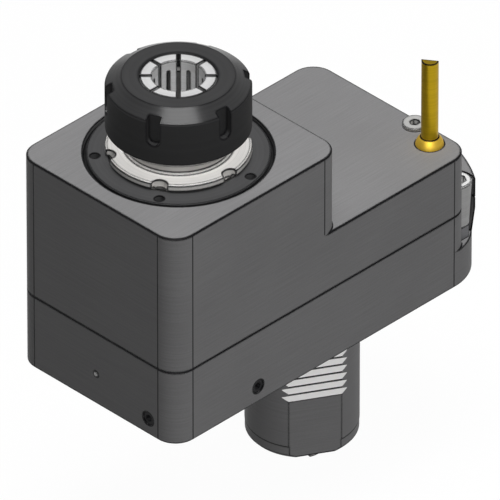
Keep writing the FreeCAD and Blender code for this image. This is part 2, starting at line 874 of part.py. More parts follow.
def make_gear(teeth, turn, seat_radius, key_width, key_rise, y):
    """A spur gear on its seat with a recessed web and a keyway; turn is one tooth's direction in degrees."""
    pitch_radius = gear_module * teeth / 2
    pressure = math.radians(pressure_angle)
    base = pitch_radius * math.cos(pressure)
    tip = pitch_radius + gear_module
    root = pitch_radius - root_depth * gear_module
    start = max(base, root)
    half_pitch_angle = math.pi / (2 * teeth) - flank_backlash / (2 * pitch_radius)
    half_base_angle = half_pitch_angle + math.tan(pressure) - pressure
    pieces = []
    for tooth in range(teeth):
        centre = math.radians(turn) + 2 * math.pi * tooth / teeth
        following = centre + 2 * math.pi / teeth
        right = involute_flank(base, start, tip, centre, half_base_angle, -1)
        left = involute_flank(base, start, tip, centre, half_base_angle, 1)
        right_top = right.Vertexes[-1].Point
        left_top = left.Vertexes[-1].Point
        start_angle = centre + half_base_angle
        next_angle = following - half_base_angle
        if base > root:
            foot = ring_point(root, centre - half_base_angle)
            pieces.append(Part.makeLine(foot, right.Vertexes[0].Point))
        pieces.append(right)
        pieces.append(Part.Arc(right_top, ring_point(tip, centre), left_top).toShape())
        pieces.append(left)
        if base > root:
            pieces.append(Part.makeLine(left.Vertexes[0].Point, ring_point(root, start_angle)))
        middle = (start_angle + next_angle) / 2
        low_arc = [ring_point(root, angle) for angle in (start_angle, middle, next_angle)]
        pieces.append(Part.Arc(*low_arc).toShape())
    outline = Part.Wire(Part.__sortEdges__(pieces))
    gear = Part.Face(outline).extrude(V(0, 0, gear_width))
    gear.translate(V(0, 0, gear_low))
    bore = seat_radius + seat_play
    rim = root - web_rim
    hub = seat_radius + web_hub
    keyway = block(
        -key_width / 2 - seat_play, key_width / 2 + seat_play, -seat_radius - key_rise - 2 * seat_play, 0,
        gear_low, gear_high,
    )
    cuts = [
        cylinder(bore, gear_low, gear_high),
        tube(rim, hub, gear_low, gear_low + web_depth),
        tube(rim, hub, gear_high - web_depth, gear_high),
        keyway,
    ]
    gear = gear.cut(cuts)
    gear.translate(V(0, y, 0))
    return gear


def make_lock_nut():
    low = front_low - lock_nut_width
    bore = lock_thread_radius + seat_play
    outline = [
        (bore, low),
        (lock_nut_radius - small_chamfer, low),
        (lock_nut_radius, low + small_chamfer),
        (lock_nut_radius, front_low - lock_nut_chamfer),
        (lock_nut_radius - lock_nut_chamfer, front_low),
        (bore, front_low),
    ]
    slot = block(
        lock_nut_radius - lock_nut_slot_depth, lock_nut_radius + cut_reach,
        spindle_y - lock_nut_slot_width / 2, spindle_y + lock_nut_slot_width / 2, low, front_low,
    )
    return turned(outline, 0, spindle_y).cut(around(slot, 0, spindle_y, lock_nut_slots))


def make_drive_shaft():
    bottom = -shank_length - shaft_end_proud
    collar_low = gear_low - shaft_collar_width
    seat_end = gear_high - seat_relief
    outline = [
        (0, bottom),
        (lower_bore_radius - small_chamfer, bottom),
        (lower_bore_radius, bottom + small_chamfer),
        (lower_bore_radius, lower_high),
        (shaft_radius, lower_high),
        (shaft_radius, collar_low),
        (shaft_collar_radius, collar_low),
        (shaft_collar_radius, gear_low),
        (drive_gear_seat, gear_low),
        (drive_gear_seat, seat_end),
        (upper_bore_radius, seat_end),
        (upper_bore_radius, shaft_end - small_chamfer),
        (upper_bore_radius - small_chamfer, shaft_end),
        (0, shaft_end),
    ]
    half = tang_thickness / 2
    tang = block(-lower_bore_radius, lower_bore_radius, -half, half, bottom - tang_length, bottom)
    tang = tang.common(cylinder(lower_bore_radius, bottom - tang_length, bottom))
    tang = tang.makeChamfer(small_chamfer, level_edges(tang, bottom - tang_length))
    tang.rotate(V(0, 0, 0), V(0, 0, 1), tang_direction)
    lower_groove = circlip_groove(lower_bore_radius, lower_low - circlip_thickness)
    upper_groove = circlip_groove(upper_bore_radius, upper_high)
    keyway = key_block(drive_gear_seat, drive_key_depth, drive_key_width, drive_key_length)
    return turned(outline).fuse(tang).cut([lower_groove, upper_groove, keyway])


def make_circlip(inner, outer, low, ears_inward, x=0.0, y=0.0):
    """A spring ring with a gap and two drilled ears, for a shaft or, with its ears inward, for a bore."""
    high = low + circlip_thickness
    ring = tube(outer, inner, low, high, x, y)
    edge = inner if ears_inward else outer
    ear_reach = math.sqrt(edge ** 2 - circlip_ear_spacing ** 2 / 4)
    ears, cuts = [], []
    for side in (-1, 1):
        ear_y = y + side * circlip_ear_spacing / 2
        ears.append(cylinder(circlip_ear_radius, low, high, x + ear_reach, ear_y))
        cuts.append(cylinder(circlip_hole_radius, low, high, x + ear_reach, ear_y))
    cuts.append(block(x, x + 2 * outer, y - circlip_opening / 2, y + circlip_opening / 2, low, high))
    return ring.fuse(ears).cut(cuts)


def make_seal():
    """The shaft seal in the shank's end: a case against the bore and a lip towards the shaft."""
    high = lower_low - circlip_thickness - seal_gap
    low = high - seal_width
    lip = lower_bore_radius + running_play
    outline = [
        (lower_outer_radius, low),
        (lower_outer_radius, high),
        (lower_outer_radius - seal_case, high),
        (lower_outer_radius - seal_case, low + seal_case),
        (lip + seal_lip_width, low + seal_case),
        (lip + seal_lip_width, high - seal_case),
        (lip, high - seal_lip_rise),
        (lip + seal_lip_opening, low),
    ]
    return turned(outline)


def wave(radius, height):
    """A closed curve that rises and falls a whole number of times on its way round."""
    points = []
    steps = points_per_wave * spring_waves
    swing = (spring_height - spring_thickness) / 2
    for step in range(steps):
        angle = 2 * math.pi * step / steps
        rise = swing * math.sin(spring_waves * angle)
        points.append(V(radius * math.cos(angle), spindle_y + radius * math.sin(angle), height + rise))
    curve = Part.BSplineCurve()
    curve.interpolate(points, True)
    return curve.toShape()


def make_wave_spring():
    outer = rear_outer_radius - spring_side_gap
    inner = outer - spring_ring_width
    low = spring_low + (spring_height - spring_thickness) / 2
    high = low + spring_thickness
    faces = [
        Part.makeRuledSurface(wave(inner, low), wave(outer, low)),
        Part.makeRuledSurface(wave(outer, low), wave(outer, high)),
        Part.makeRuledSurface(wave(outer, high), wave(inner, high)),
        Part.makeRuledSurface(wave(inner, high), wave(inner, low)),
    ]
    shell = Part.makeShell([face for surface in faces for face in surface.Faces])
    shell.sewShape()
    spring = Part.makeSolid(shell)
    if spring.Volume < 0:
        spring.reverse()
    return spring


def make_collet():
    rear = collet_face - collet_length
    lip_low = collet_face - collet_front_height()
    rim_high = lip_low - collet_groove_width
    rim_low = rim_high - collet_rim_width
    outline = [
        (collet_bore_radius, rear),
        (collet_taper_radius(rear), rear),
        (collet_rim_radius, rim_low),
        (collet_rim_radius, rim_high),
        (collet_groove_radius, rim_high),
        (collet_groove_radius, lip_low),
        (collet_lip_radius, lip_low),
        (collet_face_radius, collet_face),
        (collet_bore_radius + small_chamfer / 2, collet_face),
        (collet_bore_radius, collet_face - small_chamfer / 2),
    ]
    half = collet_slot_width / 2
    outside = collet_rim_radius + cut_reach
    front_slot = block(0, outside, spindle_y - half, spindle_y + half, rear + collet_rear_web, nut_high)
    rear_slot = block(0, outside, spindle_y - half, spindle_y + half, rear, collet_face - collet_front_web)
    slots = around(front_slot, 0, spindle_y, collet_slots)
    slots += around(rear_slot, 0, spindle_y, collet_slots, 180.0 / collet_slots)
    return turned(outline, 0, spindle_y).cut(slots)


def make_collet_nut():
    lip_low = collet_face - collet_front_height()
    slope = math.tan(math.radians(collet_front_angle))
    thread = nose_thread_radius + running_play
    cone_low_radius = collet_lip_radius + nut_cone_gap
    mouth_height = nut_high - (nut_opening_radius - collet_face_radius)
    mouth_radius = cone_low_radius - (mouth_height - lip_low) * slope
    hook_high = lip_low - nut_lip_gap
    hook_low = lip_low - collet_groove_width + nut_lip_gap
    relief_high = nut_thread_end + nut_relief_width
    outline = [
        (thread + nut_mouth_chamfer, nut_low),
        (nut_radius - nut_foot_chamfer, nut_low),
        (nut_radius, nut_low + nut_foot_chamfer),
        (nut_radius, nut_rim_low),
        (nut_rim_radius, nut_rim_high),
        (nut_top_radius, nut_high),
        (nut_opening_radius, nut_high),
        (mouth_radius, mouth_height),
        (cone_low_radius, lip_low),
        (nut_chamber_radius, lip_low),
        (nut_chamber_radius, relief_high),
        (nut_relief_radius, relief_high),
        (nut_relief_radius, nut_thread_end),
        (thread, nut_thread_end),
        (thread, nut_low + nut_mouth_chamfer),
    ]
    nut = turned(outline, 0, spindle_y)
    hook = cylinder(nut_chamber_radius + nut_hook_root, hook_low, hook_high, 0, spindle_y)
    hook = hook.cut(cylinder(nut_lip_radius, hook_low, hook_high, nut_lip_offset, spindle_y))
    nut = nut.fuse(hook).removeSplitter()
    end = nut_rim_high - nut_slot_length + nut_slot_width / 2
    inside = nut_radius - nut_slot_depth
    half = nut_slot_width / 2
    slot = block(inside, nut_radius + cut_reach, spindle_y - half, spindle_y + half, end, nut_high)
    slot_end = Part.makeCylinder(half, nut_slot_depth + cut_reach, V(inside, spindle_y, end), V(1, 0, 0))
    return nut.cut(around(slot.fuse(slot_end), 0, spindle_y, nut_slots, nut_slot_start))


def bearing(name, x, y, low, sizes, open_side=0):
    """A ball bearing's four pieces. open_side is 1 or -1 where one shoulder of the outer ring is cut away."""
    bore, outer, width, ball, count = sizes
    middle = low + width / 2
    high = low + width
    pitch = (bore + outer) / 2
    race = Part.makeTorus(pitch, ball + ball_play, V(x, y, middle), V(0, 0, 1))
    outer_shoulder = pitch + ball * shoulder_share
    inner_shoulder = pitch - ball * shoulder_share
    edge = small_chamfer
    outer_ring = turned([
        (outer_shoulder, low), (outer - edge, low), (outer, low + edge),
        (outer, high - edge), (outer - edge, high), (outer_shoulder, high),
    ], x, y).cut(race)
    if open_side:
        relief_low = middle if open_side > 0 else low
        relief = cylinder(pitch + ball * open_shoulder_share, relief_low, relief_low + width / 2, x, y)
        outer_ring = outer_ring.cut(relief)
    inner_ring = turned([
        (inner_shoulder, low), (inner_shoulder, high), (bore + edge + seat_play, high),
        (bore + seat_play, high - edge), (bore + seat_play, low + edge), (bore + edge + seat_play, low),
    ], x, y).cut(race)
    cage_half = ball * cage_height_share
    cage_wall = ball * cage_wall_share
    cage = tube(pitch + cage_wall, pitch - cage_wall, middle - cage_half, middle + cage_half, x, y)
    pocket_start = V(x + pitch - ball / 2, y, middle)
    pocket = Part.makeCylinder(ball + 2 * ball_play, ball, pocket_start, V(1, 0, 0))
    cage = cage.cut(around(pocket, x, y, count))
    balls = around(Part.makeSphere(ball, V(x + pitch, y, middle)), x, y, count)
    return {
        name + "_outer": outer_ring,
        name + "_inner": inner_ring,
        name + "_cage": cage,
        name + "_balls": Part.makeCompound(balls),
    }


def make_housing_screws():
    screws = []
    for x, y, length in screw_spots():
        head = cylinder(screw_head_radius, screw_head_sink, screw_seat, x, y)
        head = head.makeChamfer(screw_head_chamfer, level_edges(head, screw_head_sink))
        thread = cylinder(screw_radius, screw_seat - cut_reach, screw_seat + length, x, y)
        socket = hexagon(screw_socket_flats, screw_head_sink, screw_head_sink + screw_socket_depth, x, y)
        screws.append(head.fuse(thread).cut(socket))
    return Part.makeCompound(screws)


def make_dowel_pins():
    pins = []
    for x, y in dowel_spots:
        low = parting_height - dowel_length / 2
        high = parting_height + dowel_length / 2
        pin = cylinder(dowel_radius, low, high, x, y)
        pins.append(pin.makeChamfer(small_chamfer, level_edges(pin, low) + level_edges(pin, high)))
    return Part.makeCompound(pins)


def make_gallery_plugs():
    plug = cylinder(plug_radius, plug_sink, plug_sink + plug_length)
    plug = plug.cut(hexagon(plug_socket_flats, plug_sink, plug_sink + plug_socket_depth))
    return Part.makeCompound([
        laid(plug, V(gallery_x, front_y, gallery_z), V(0, 1, 0)),
        laid(plug, V(half_width, cross_gallery_y, gallery_z), V(-1, 0, 0)),
    ])


def make_deck_plug():
    high = deck_height + deck_plug_head_height
    head = cylinder(deck_plug_head_radius, deck_height, high, deck_plug_x, deck_plug_y)
    head = head.makeChamfer(deck_plug_rim, level_edges(head, high))
    thread = cylinder(
        deck_plug_thread_radius, deck_height - deck_plug_length, deck_height, deck_plug_x, deck_plug_y
    )
    socket = hexagon(deck_plug_flats, high - deck_plug_socket_depth, high, deck_plug_x, deck_plug_y)
    return head.fuse(thread).cut(socket)


def make_index_pin():
    pin = cylinder(index_pin_radius, -index_pin_proud, index_pin_length - index_pin_proud)
    return laid(pin, V(0, front_y, index_pin_height), V(0, 1, 0))


def make_alignment_bolts():
    height = lobe_height - align_low
    head = Part.makeCone(align_foot_radius, align_head_radius, height, V(align_x, align_y, align_low))
    head = head.makeChamfer(align_rim, level_edges(head, align_low) + level_edges(head, lobe_height))
    thread_low = notch_floor - align_thread_depth
    thread = cylinder(align_thread_radius, thread_low, align_low + cut_reach, align_x, align_y)
    socket = hexagon(align_socket_flats, lobe_height - align_socket_depth, lobe_height, align_x, align_y)
    return Part.makeCompound(both_sides(head.fuse(thread).cut(socket)))


def make_alignment_nuts():
    nut = hexagon(align_nut_flats, notch_floor, align_low, align_x, align_y)
    nut = nut.cut(cylinder(align_thread_radius + seat_play, notch_floor, align_low, align_x, align_y))
    return Part.makeCompound(both_sides(nut))


def make_oring(radius, section, height, x=0.0, y=0.0):
    return Part.makeTorus(radius, section, V(x, y, height), V(0, 0, 1))


def make_nozzle_ring():
    """The seat ring under the nozzle ball, hollowed to the ball."""
    radius = nozzle_ball_radius + nozzle_socket_play - running_play
    low = nozzle_ring_low + running_play
    ring = tube(radius, nozzle_ring_bore, low, nozzle_ring_high, nozzle_x, nozzle_y)
    hollow = Part.makeSphere(nozzle_ball_radius + nozzle_socket_play, V(nozzle_x, nozzle_y, ball_centre))
    return ring.cut(hollow)


def make_nozzle_ball():
    ball = Part.makeSphere(nozzle_ball_radius, V(nozzle_x, nozzle_y, ball_centre))
    bottom = ball_centre - nozzle_ball_radius - cut_reach
    top = ball_centre + nozzle_ball_radius + cut_reach
    start = V(nozzle_x, nozzle_y, bottom)
    mouth = Part.makeCone(nozzle_mouth_radius, nozzle_tube_bore, nozzle_mouth_radius, start)
    return ball.cut([
        cylinder(nozzle_tube_bore, bottom, top, nozzle_x, nozzle_y),
        cylinder(nozzle_tube_radius + seat_play, ball_centre, top, nozzle_x, nozzle_y),
        mouth,
    ])


def make_nozzle_tube():
    """The nozzle tube, closed at its top, where one half is cut slantwise and drilled for the jet."""
    tube_solid = cylinder(nozzle_tube_radius, ball_centre, nozzle_tube_top, nozzle_x, nozzle_y)
    bore = cylinder(nozzle_tube_bore, ball_centre, nozzle_tube_top - nozzle_end_wall, nozzle_x, nozzle_y)
    wide = nozzle_tube_radius + cut_reach
    fall = wide * math.tan(math.radians(nozzle_cut_angle))
    side = [
        V(0, -wide, nozzle_tube_top),
        V(wide, -wide, nozzle_tube_top - fall),
        V(wide, -wide, nozzle_tube_top),
    ]
    wedge = Part.Face(Part.makePolygon(side + side[:1])).extrude(V(0, 2 * wide, 0))
    wedge.rotate(V(0, 0, 0), V(0, 0, 1), nozzle_cut_direction)
    wedge.translate(V(nozzle_x, nozzle_y, 0))
    turn = math.radians(nozzle_cut_direction)
    slope = math.radians(nozzle_cut_angle)
    outward = V(math.sin(slope) * math.cos(turn), math.sin(slope) * math.sin(turn), math.cos(slope))
    spot = V(nozzle_x, nozzle_y, nozzle_tube_top)
    reach = nozzle_tube_radius / 2
    spot = spot + V(math.cos(turn) * reach, math.sin(turn) * reach, -reach * math.tan(slope))
    inside = spot - outward * nozzle_tube_radius
    jet = Part.makeCylinder(nozzle_outlet_radius, 3 * nozzle_tube_radius, inside, outward)
    return tube_solid.cut([bore, wedge, jet])


def shaft_circlip(seat, low, y=0.0):
    inner = seat - circlip_seat_depth + seat_play
    return make_circlip(inner, inner + shaft_circlip_width, low, False, 0, y)


def shank_circlip():
    outer = lower_outer_radius + shank_circlip_depth - seat_play
    return make_circlip(outer - shank_circlip_width, outer, lower_low - circlip_thickness, True)


def make_spacer(seat, low, high, y=0.0):
    return tube(seat + spacer_wall, seat + seat_play, low, high, 0, y)


def bearings():
    front = (front_bore_radius, front_outer_radius, front_width, front_ball_radius, front_balls)
    rear = (rear_bore_radius, rear_outer_radius, rear_width, rear_ball_radius, rear_balls)
    upper = (upper_bore_radius, upper_outer_radius, upper_width, upper_ball_radius, upper_balls)
    lower = (lower_bore_radius, lower_outer_radius, lower_width, lower_ball_radius, lower_balls)
    pieces = {}
    pieces.update(bearing("front_bearing_a", 0, spindle_y, front_middle, front, 1))
    pieces.update(bearing("front_bearing_b", 0, spindle_y, front_low, front, -1))
    pieces.update(bearing("rear_bearing", 0, spindle_y, rear_low, rear))
    pieces.update(bearing("drive_upper_bearing", 0, 0, upper_low, upper))
    pieces.update(bearing("drive_lower_bearing", 0, 0, lower_low, lower))
    return pieces


def all_pieces():
    spindle_key_rise = spindle_key_height - spindle_key_depth
    drive_key_rise = drive_key_height - drive_key_depth
    drive_turn = 270.0 + 180.0 / drive_teeth
    pieces = {
        "upper_housing": make_upper_housing(),
        "base_housing": make_base_housing(),
        "bearing_retaining_ring": make_retaining_ring(),
        "labyrinth_ring": make_labyrinth_ring(),
        "spindle": make_spindle(),
        "spindle_gear": make_gear(
            spindle_teeth, 90.0, spindle_gear_seat, spindle_key_width, spindle_key_rise, spindle_y
        ),
        "spindle_gear_key": make_key(
            spindle_gear_seat, spindle_key_depth, spindle_key_width, spindle_key_height, spindle_key_length,
            spindle_y,
        ),
        "spindle_lock_nut": make_lock_nut(),
        "rear_spacer": make_spacer(rear_bore_radius, rear_high, gear_low, spindle_y),
        "spindle_circlip": shaft_circlip(rear_bore_radius, rear_low - circlip_thickness, spindle_y),
        "rear_wave_spring": make_wave_spring(),
        "drive_shaft": make_drive_shaft(),
        "drive_gear": make_gear(drive_teeth, drive_turn, drive_gear_seat, drive_key_width, drive_key_rise, 0),
        "drive_gear_key": make_key(
            drive_gear_seat, drive_key_depth, drive_key_width, drive_key_height, drive_key_length, 0.0
        ),
        "drive_spacer": make_spacer(upper_bore_radius, gear_high, upper_low),
        "drive_upper_circlip": shaft_circlip(upper_bore_radius, upper_high),
        "drive_lower_circlip": shaft_circlip(lower_bore_radius, lower_low - circlip_thickness),
        "shank_circlip": shank_circlip(),
        "shank_seal": make_seal(),
        "collet": make_collet(),
        "collet_nut": make_collet_nut(),
        "housing_screws": make_housing_screws(),
        "dowel_pins": make_dowel_pins(),
        "gallery_plugs": make_gallery_plugs(),
        "deck_plug": make_deck_plug(),
        "index_pin": make_index_pin(),
        "alignment_bolts": make_alignment_bolts(),
        "alignment_jam_nuts": make_alignment_nuts(),
        "inlet_oring": make_oring(
            inlet_oring_radius, inlet_oring_section, inlet_oring_section, gallery_x, inlet_y
        ),
        "shank_oring": make_oring(shank_oring_radius, shank_oring_section, shank_oring_section),
        "riser_oring": make_oring(
            riser_oring_radius, riser_oring_section,
            parting_height - riser_oring_section - oring_groove_play / 2, nozzle_x, nozzle_y,
        ),
        "nozzle_ring": make_nozzle_ring(),
        "nozzle_ball": make_nozzle_ball(),
        "nozzle_tube": make_nozzle_tube(),
    }
    pieces.update(bearings())
    return pieces


os.makedirs("parts", exist_ok=True)
for node, shape in all_pieces().items():
    shape.exportStep("parts/" + node + ".step")
    solids = len(shape.Solids)
    print(node, "solids", solids, "valid", shape.isValid(), "volume", round(shape.Volume, 1))
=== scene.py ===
import json
import math

import bmesh
import bpy
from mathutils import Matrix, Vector


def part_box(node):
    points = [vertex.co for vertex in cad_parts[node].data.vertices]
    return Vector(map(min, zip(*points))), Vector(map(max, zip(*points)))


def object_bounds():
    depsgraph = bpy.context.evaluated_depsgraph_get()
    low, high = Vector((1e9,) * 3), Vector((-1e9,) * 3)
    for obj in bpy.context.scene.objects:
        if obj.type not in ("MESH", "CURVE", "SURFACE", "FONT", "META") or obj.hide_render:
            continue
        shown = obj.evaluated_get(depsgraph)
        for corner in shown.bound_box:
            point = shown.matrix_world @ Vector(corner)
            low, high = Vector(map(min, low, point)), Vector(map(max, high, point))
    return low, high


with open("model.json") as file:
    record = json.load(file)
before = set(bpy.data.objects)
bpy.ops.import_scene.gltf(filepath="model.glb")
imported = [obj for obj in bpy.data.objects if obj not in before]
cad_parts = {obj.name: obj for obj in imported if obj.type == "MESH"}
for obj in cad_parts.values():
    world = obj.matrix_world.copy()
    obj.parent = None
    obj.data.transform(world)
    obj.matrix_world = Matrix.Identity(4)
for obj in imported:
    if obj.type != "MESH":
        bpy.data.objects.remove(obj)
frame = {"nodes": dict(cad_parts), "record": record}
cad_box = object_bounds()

# Sizes are in metres. Places come from the frame's own pieces where a piece gives them.
MM = 0.001
NODES = frame["nodes"]


def middle(node):
    """The middle of a node's box."""
    low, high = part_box(node)
    return (low + high) / 2


SPINDLE_AXIS = middle("labyrinth_ring")
SHANK_AXIS = middle("shank_oring")
NOZZLE_AXIS = middle("nozzle_ball")
DECK_PLUG_AXIS = middle("deck_plug")
BOLT_AXIS = Vector((31.5, 44.2, 0.0)) * MM
DECK = middle("nozzle_ball").z

# The shank's relief and its toothed flat
RELIEF_TOP = -55.3 * MM
TOOTH_DIRECTION = math.radians(-30.0)
TOOTH_DEPTH_FROM_AXIS = 16.0 * MM
TOOTH_BOTTOM = -36.0 * MM
TOOTH_TOP = -7.6 * MM

# Where the housing's flat walls run into its round corners
CORNER_RADIUS = 8.5 * MM
HOUSING_LOW, HOUSING_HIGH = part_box("upper_housing")
STEP_FACE = -19.4 * MM
END_FACE = 44.0 * MM
SIDE_TANGENT = HOUSING_HIGH.x - CORNER_RADIUS
FRONT_TANGENT = HOUSING_LOW.y + CORNER_RADIUS
STEP_TANGENT = STEP_FACE - CORNER_RADIUS
END_TANGENT = END_FACE - CORNER_RADIUS
LINE_WIDTH = 0.65 * MM

# How far the oxide's darker edges and the shade of gaps reach
EDGE_REACH = 0.9 * MM
WIDE_EDGE_REACH = 1.2 * MM
HOUSING_EDGE_REACH = 1.05 * MM
EDGE_SAMPLES = 8
SHELTER_REACH = 2.5 * MM
SHELTER_SAMPLES = 8

# Depth of the cutter's and the grinding marks
TURNED_DEPTH = 0.010 * MM
GROUND_DEPTH = 0.012 * MM

# Near black: the oxide on broken edges, and painted shade on the shank teeth's undersides and crests.
OXIDE_AND_SHADE = (0.006, 0.006, 0.007, 1.0)
# Near white for the teeth's upward flanks: bare ground steel, brightened further as painted light.
GROUND_AND_LIT_TOOTH = (0.97, 0.96, 0.95, 1.0)


# Short calls for the nodes that the finishes share

def feed(tree, socket, value):
    """A link where the value is another node's output, and a plain value otherwise."""
    if isinstance(value, bpy.types.NodeSocket):
        tree.links.new(value, socket)
    else:
        socket.default_value = value


def put(tree, kind, inputs=None, **settings):
    """A new node with its settings, and its named inputs fed."""
    made = tree.nodes.new(kind)
    for key, value in settings.items():
        setattr(made, key, value)
    for key, value in (inputs or {}).items():
        feed(tree, made.inputs[key], value)
    return made


def calc(tree, operation, *values):
    """The result of one sum."""
    made = tree.nodes.new("ShaderNodeMath")
    made.operation = operation
    for socket, value in zip(made.inputs, values):
        feed(tree, socket, value)
    return made.outputs[0]


def rise(tree, value, start, end, low=0.0, high=1.0):
    """Runs smoothly from low to high as the value goes from start to end."""
    inputs = {"Value": value, "From Min": start, "From Max": end, "To Min": low, "To Max": high}
    return put(tree, "ShaderNodeMapRange", inputs, interpolation_type="SMOOTHSTEP").outputs[0]


def mixed(tree, share, first, second):
    """The first colour, and as much of the second as the share says."""
    made = tree.nodes.new("ShaderNodeMix")
    made.data_type = "RGBA"
    feed(tree, made.inputs[0], share)
    feed(tree, made.inputs[6], first)
    feed(tree, made.inputs[7], second)
    return made.outputs[2]


def shaded(tree, colour, amount):
    """The colour made lighter or darker by a factor."""
    made = tree.nodes.new("ShaderNodeVectorMath")
    made.operation = "SCALE"
    feed(tree, made.inputs[0], colour)
    feed(tree, made.inputs["Scale"], amount)
    return made.outputs[0]


class Place:
    """Where a surface point lies on the piece, and which way the surface faces there."""

    def __init__(self, tree, axis=None, paired=False):
        coordinates = tree.nodes.new("ShaderNodeTexCoord")
        self.point = coordinates.outputs["Object"]
        if paired:
            both = put(tree, "ShaderNodeVectorMath", {0: self.point}, operation="ABSOLUTE")
            self.point = both.outputs[0]
        if axis is not None:
            shift = put(tree, "ShaderNodeMapping", vector_type="POINT")
            shift.inputs["Location"].default_value = (-axis.x, -axis.y, 0.0)
            feed(tree, shift.inputs["Vector"], self.point)
            self.point = shift.outputs[0]
        parts = put(tree, "ShaderNodeSeparateXYZ", {0: self.point})
        self.x, self.y, self.z = parts.outputs
        facing = put(tree, "ShaderNodeSeparateXYZ", {0: coordinates.outputs["Normal"]})
        self.nx, self.ny, self.nz = facing.outputs
        self.level = calc(tree, "ABSOLUTE", self.nz)


def noise(tree, point, stretch, detail=2.0, roughness=0.5):
    """Noise whose grains are one over the stretch long, in metres, along each axis."""
    scaled = put(tree, "ShaderNodeVectorMath", {0: point, 1: stretch}, operation="MULTIPLY")
    inputs = {"Vector": scaled.outputs[0], "Scale": 1.0, "Detail": detail, "Roughness": roughness}
    return put(tree, "ShaderNodeTexNoise", inputs).outputs[0]


def rings(tree, place, density, detail=2.0):
    """Turned marks round the piece's axis: noise along the cutter's path, the same all the way round."""
    across = calc(tree, "POWER", place.x, 2.0)
    along = calc(tree, "POWER", place.y, 2.0)
    radius = calc(tree, "SQRT", calc(tree, "ADD", across, along))
    path = calc(tree, "MULTIPLY_ADD", place.z, 0.73, radius)
    inputs = {"W": path, "Scale": density, "Detail": detail, "Roughness": 0.6}
    return put(tree, "ShaderNodeTexNoise", inputs, noise_dimensions="1D").outputs[0]


def ground_marks(tree, place, fine, long):
    """Straight grinding marks: level ones on the walls, and along Y on the level faces."""
    on_walls = noise(tree, place.point, (long, long, fine))
    on_top = noise(tree, place.point, (fine, long, long))
    level = rise(tree, place.level, 0.6, 0.9)
    low = calc(tree, "MULTIPLY", on_walls, calc(tree, "SUBTRACT", 1.0, level))
    return calc(tree, "MULTIPLY_ADD", on_top, level, low)


def relief(tree, shader, height, depth, strength=1.0):
    """Raises the surface's shading by the height, whose full size is the depth."""
    bump = put(tree, "ShaderNodeBump", {"Strength": strength, "Distance": depth, "Height": height})
    feed(tree, shader.inputs["Normal"], bump.outputs["Normal"])


def spread(tree, value, amount):
    """A factor round one that follows noise by plus or minus the amount."""
    return rise(tree, value, 0.25, 0.75, 1.0 - amount, 1.0 + amount)


def on_walls(tree, place, factor):
    """The factor on upright walls, and one on level faces."""
    return rise(tree, place.level, 0.3, 0.6, factor, 1.0)


def new_finish(name, metallic, specular=0.5):
    """A material with its node tree and its shader."""
    material = bpy.data.materials.new(name)
    material.use_nodes = True
    tree = material.node_tree
    shader = tree.nodes["Principled BSDF"]
    shader.inputs["Metallic"].default_value = metallic
    shader.inputs["Specular IOR Level"].default_value = specular
    return material, tree, shader


def sharp_edges(tree, reach):
    """One beside the piece's sharp edges, out to about the reach, and nothing on its faces."""
    rounded = put(tree, "ShaderNodeBevel", {"Radius": reach}, samples=EDGE_SAMPLES)
    facing = tree.nodes.new("ShaderNodeNewGeometry")
    both = {0: rounded.outputs[0], 1: facing.outputs["Normal"]}
    alike = put(tree, "ShaderNodeVectorMath", both, operation="DOT_PRODUCT")
    return rise(tree, alike.outputs["Value"], 0.9975, 0.982)


def painted_gap_shade(tree, low):
    """Painted shade: one on open faces, and the low factor deep in slots, holes and narrow gaps."""
    sky = put(tree, "ShaderNodeAmbientOcclusion", {"Distance": SHELTER_REACH}, samples=SHELTER_SAMPLES)
    return rise(tree, sky.outputs["AO"], 0.12, 0.62, low, 1.0)


def off_by(tree, value, line):
    """How far the value is from the line, to either side."""
    return calc(tree, "ABSOLUTE", calc(tree, "SUBTRACT", value, line))


def line_at(tree, distance):
    """One on a fine line where the distance is nothing."""
    return rise(tree, distance, LINE_WIDTH / 2, LINE_WIDTH / 4)


def flat_to(tree, facing):
    """One on flat walls that face along the axis, and nothing on the round corners beside them."""
    return rise(tree, calc(tree, "ABSOLUTE", facing), 0.985, 0.995)


def chamfered(tree, place):
    """One on the small slopes between level faces and walls, and nothing on either of them."""
    above = rise(tree, place.level, 0.25, 0.4)
    below = rise(tree, place.level, 0.97, 0.85)
    return calc(tree, "MULTIPLY", above, below)


def corner_lines(tree, place):
    """Fine lines down the housing's walls, where they run into its round corners."""
    to_front = off_by(tree, place.y, FRONT_TANGENT)
    to_end = off_by(tree, place.y, END_TANGENT)
    below_deck = rise(tree, place.z, DECK + 1.0 * MM, DECK)
    to_step = calc(tree, "ADD", off_by(tree, place.y, STEP_TANGENT), below_deck)
    nearest = calc(tree, "MINIMUM", calc(tree, "MINIMUM", to_front, to_end), to_step)
    on_sides = calc(tree, "MULTIPLY", line_at(tree, nearest), flat_to(tree, place.nx))
    across = off_by(tree, calc(tree, "ABSOLUTE", place.x), SIDE_TANGENT)
    on_ends = calc(tree, "MULTIPLY", line_at(tree, across), flat_to(tree, place.ny))
    return calc(tree, "MAXIMUM", on_sides, on_ends)


def towards_teeth(tree, x, y):
    """How far a place lies, or a face turns, towards the shank's toothed flat."""
    reach = calc(tree, "MULTIPLY", x, math.cos(TOOTH_DIRECTION))
    return calc(tree, "MULTIPLY_ADD", y, math.sin(TOOTH_DIRECTION), reach)


def toothed_part(tree, place):
    """One within the height and depth of the shank's teeth."""
    below_top = rise(tree, place.z, TOOTH_TOP + 0.1 * MM, TOOTH_TOP)
    above_bottom = rise(tree, place.z, TOOTH_BOTTOM - 0.1 * MM, TOOTH_BOTTOM)
    reach = towards_teeth(tree, place.x, place.y)
    outside = rise(tree, reach, TOOTH_DEPTH_FROM_AXIS - 0.2 * MM, TOOTH_DEPTH_FROM_AXIS)
    return calc(tree, "MULTIPLY", calc(tree, "MULTIPLY", below_top, above_bottom), outside)


# Finishes

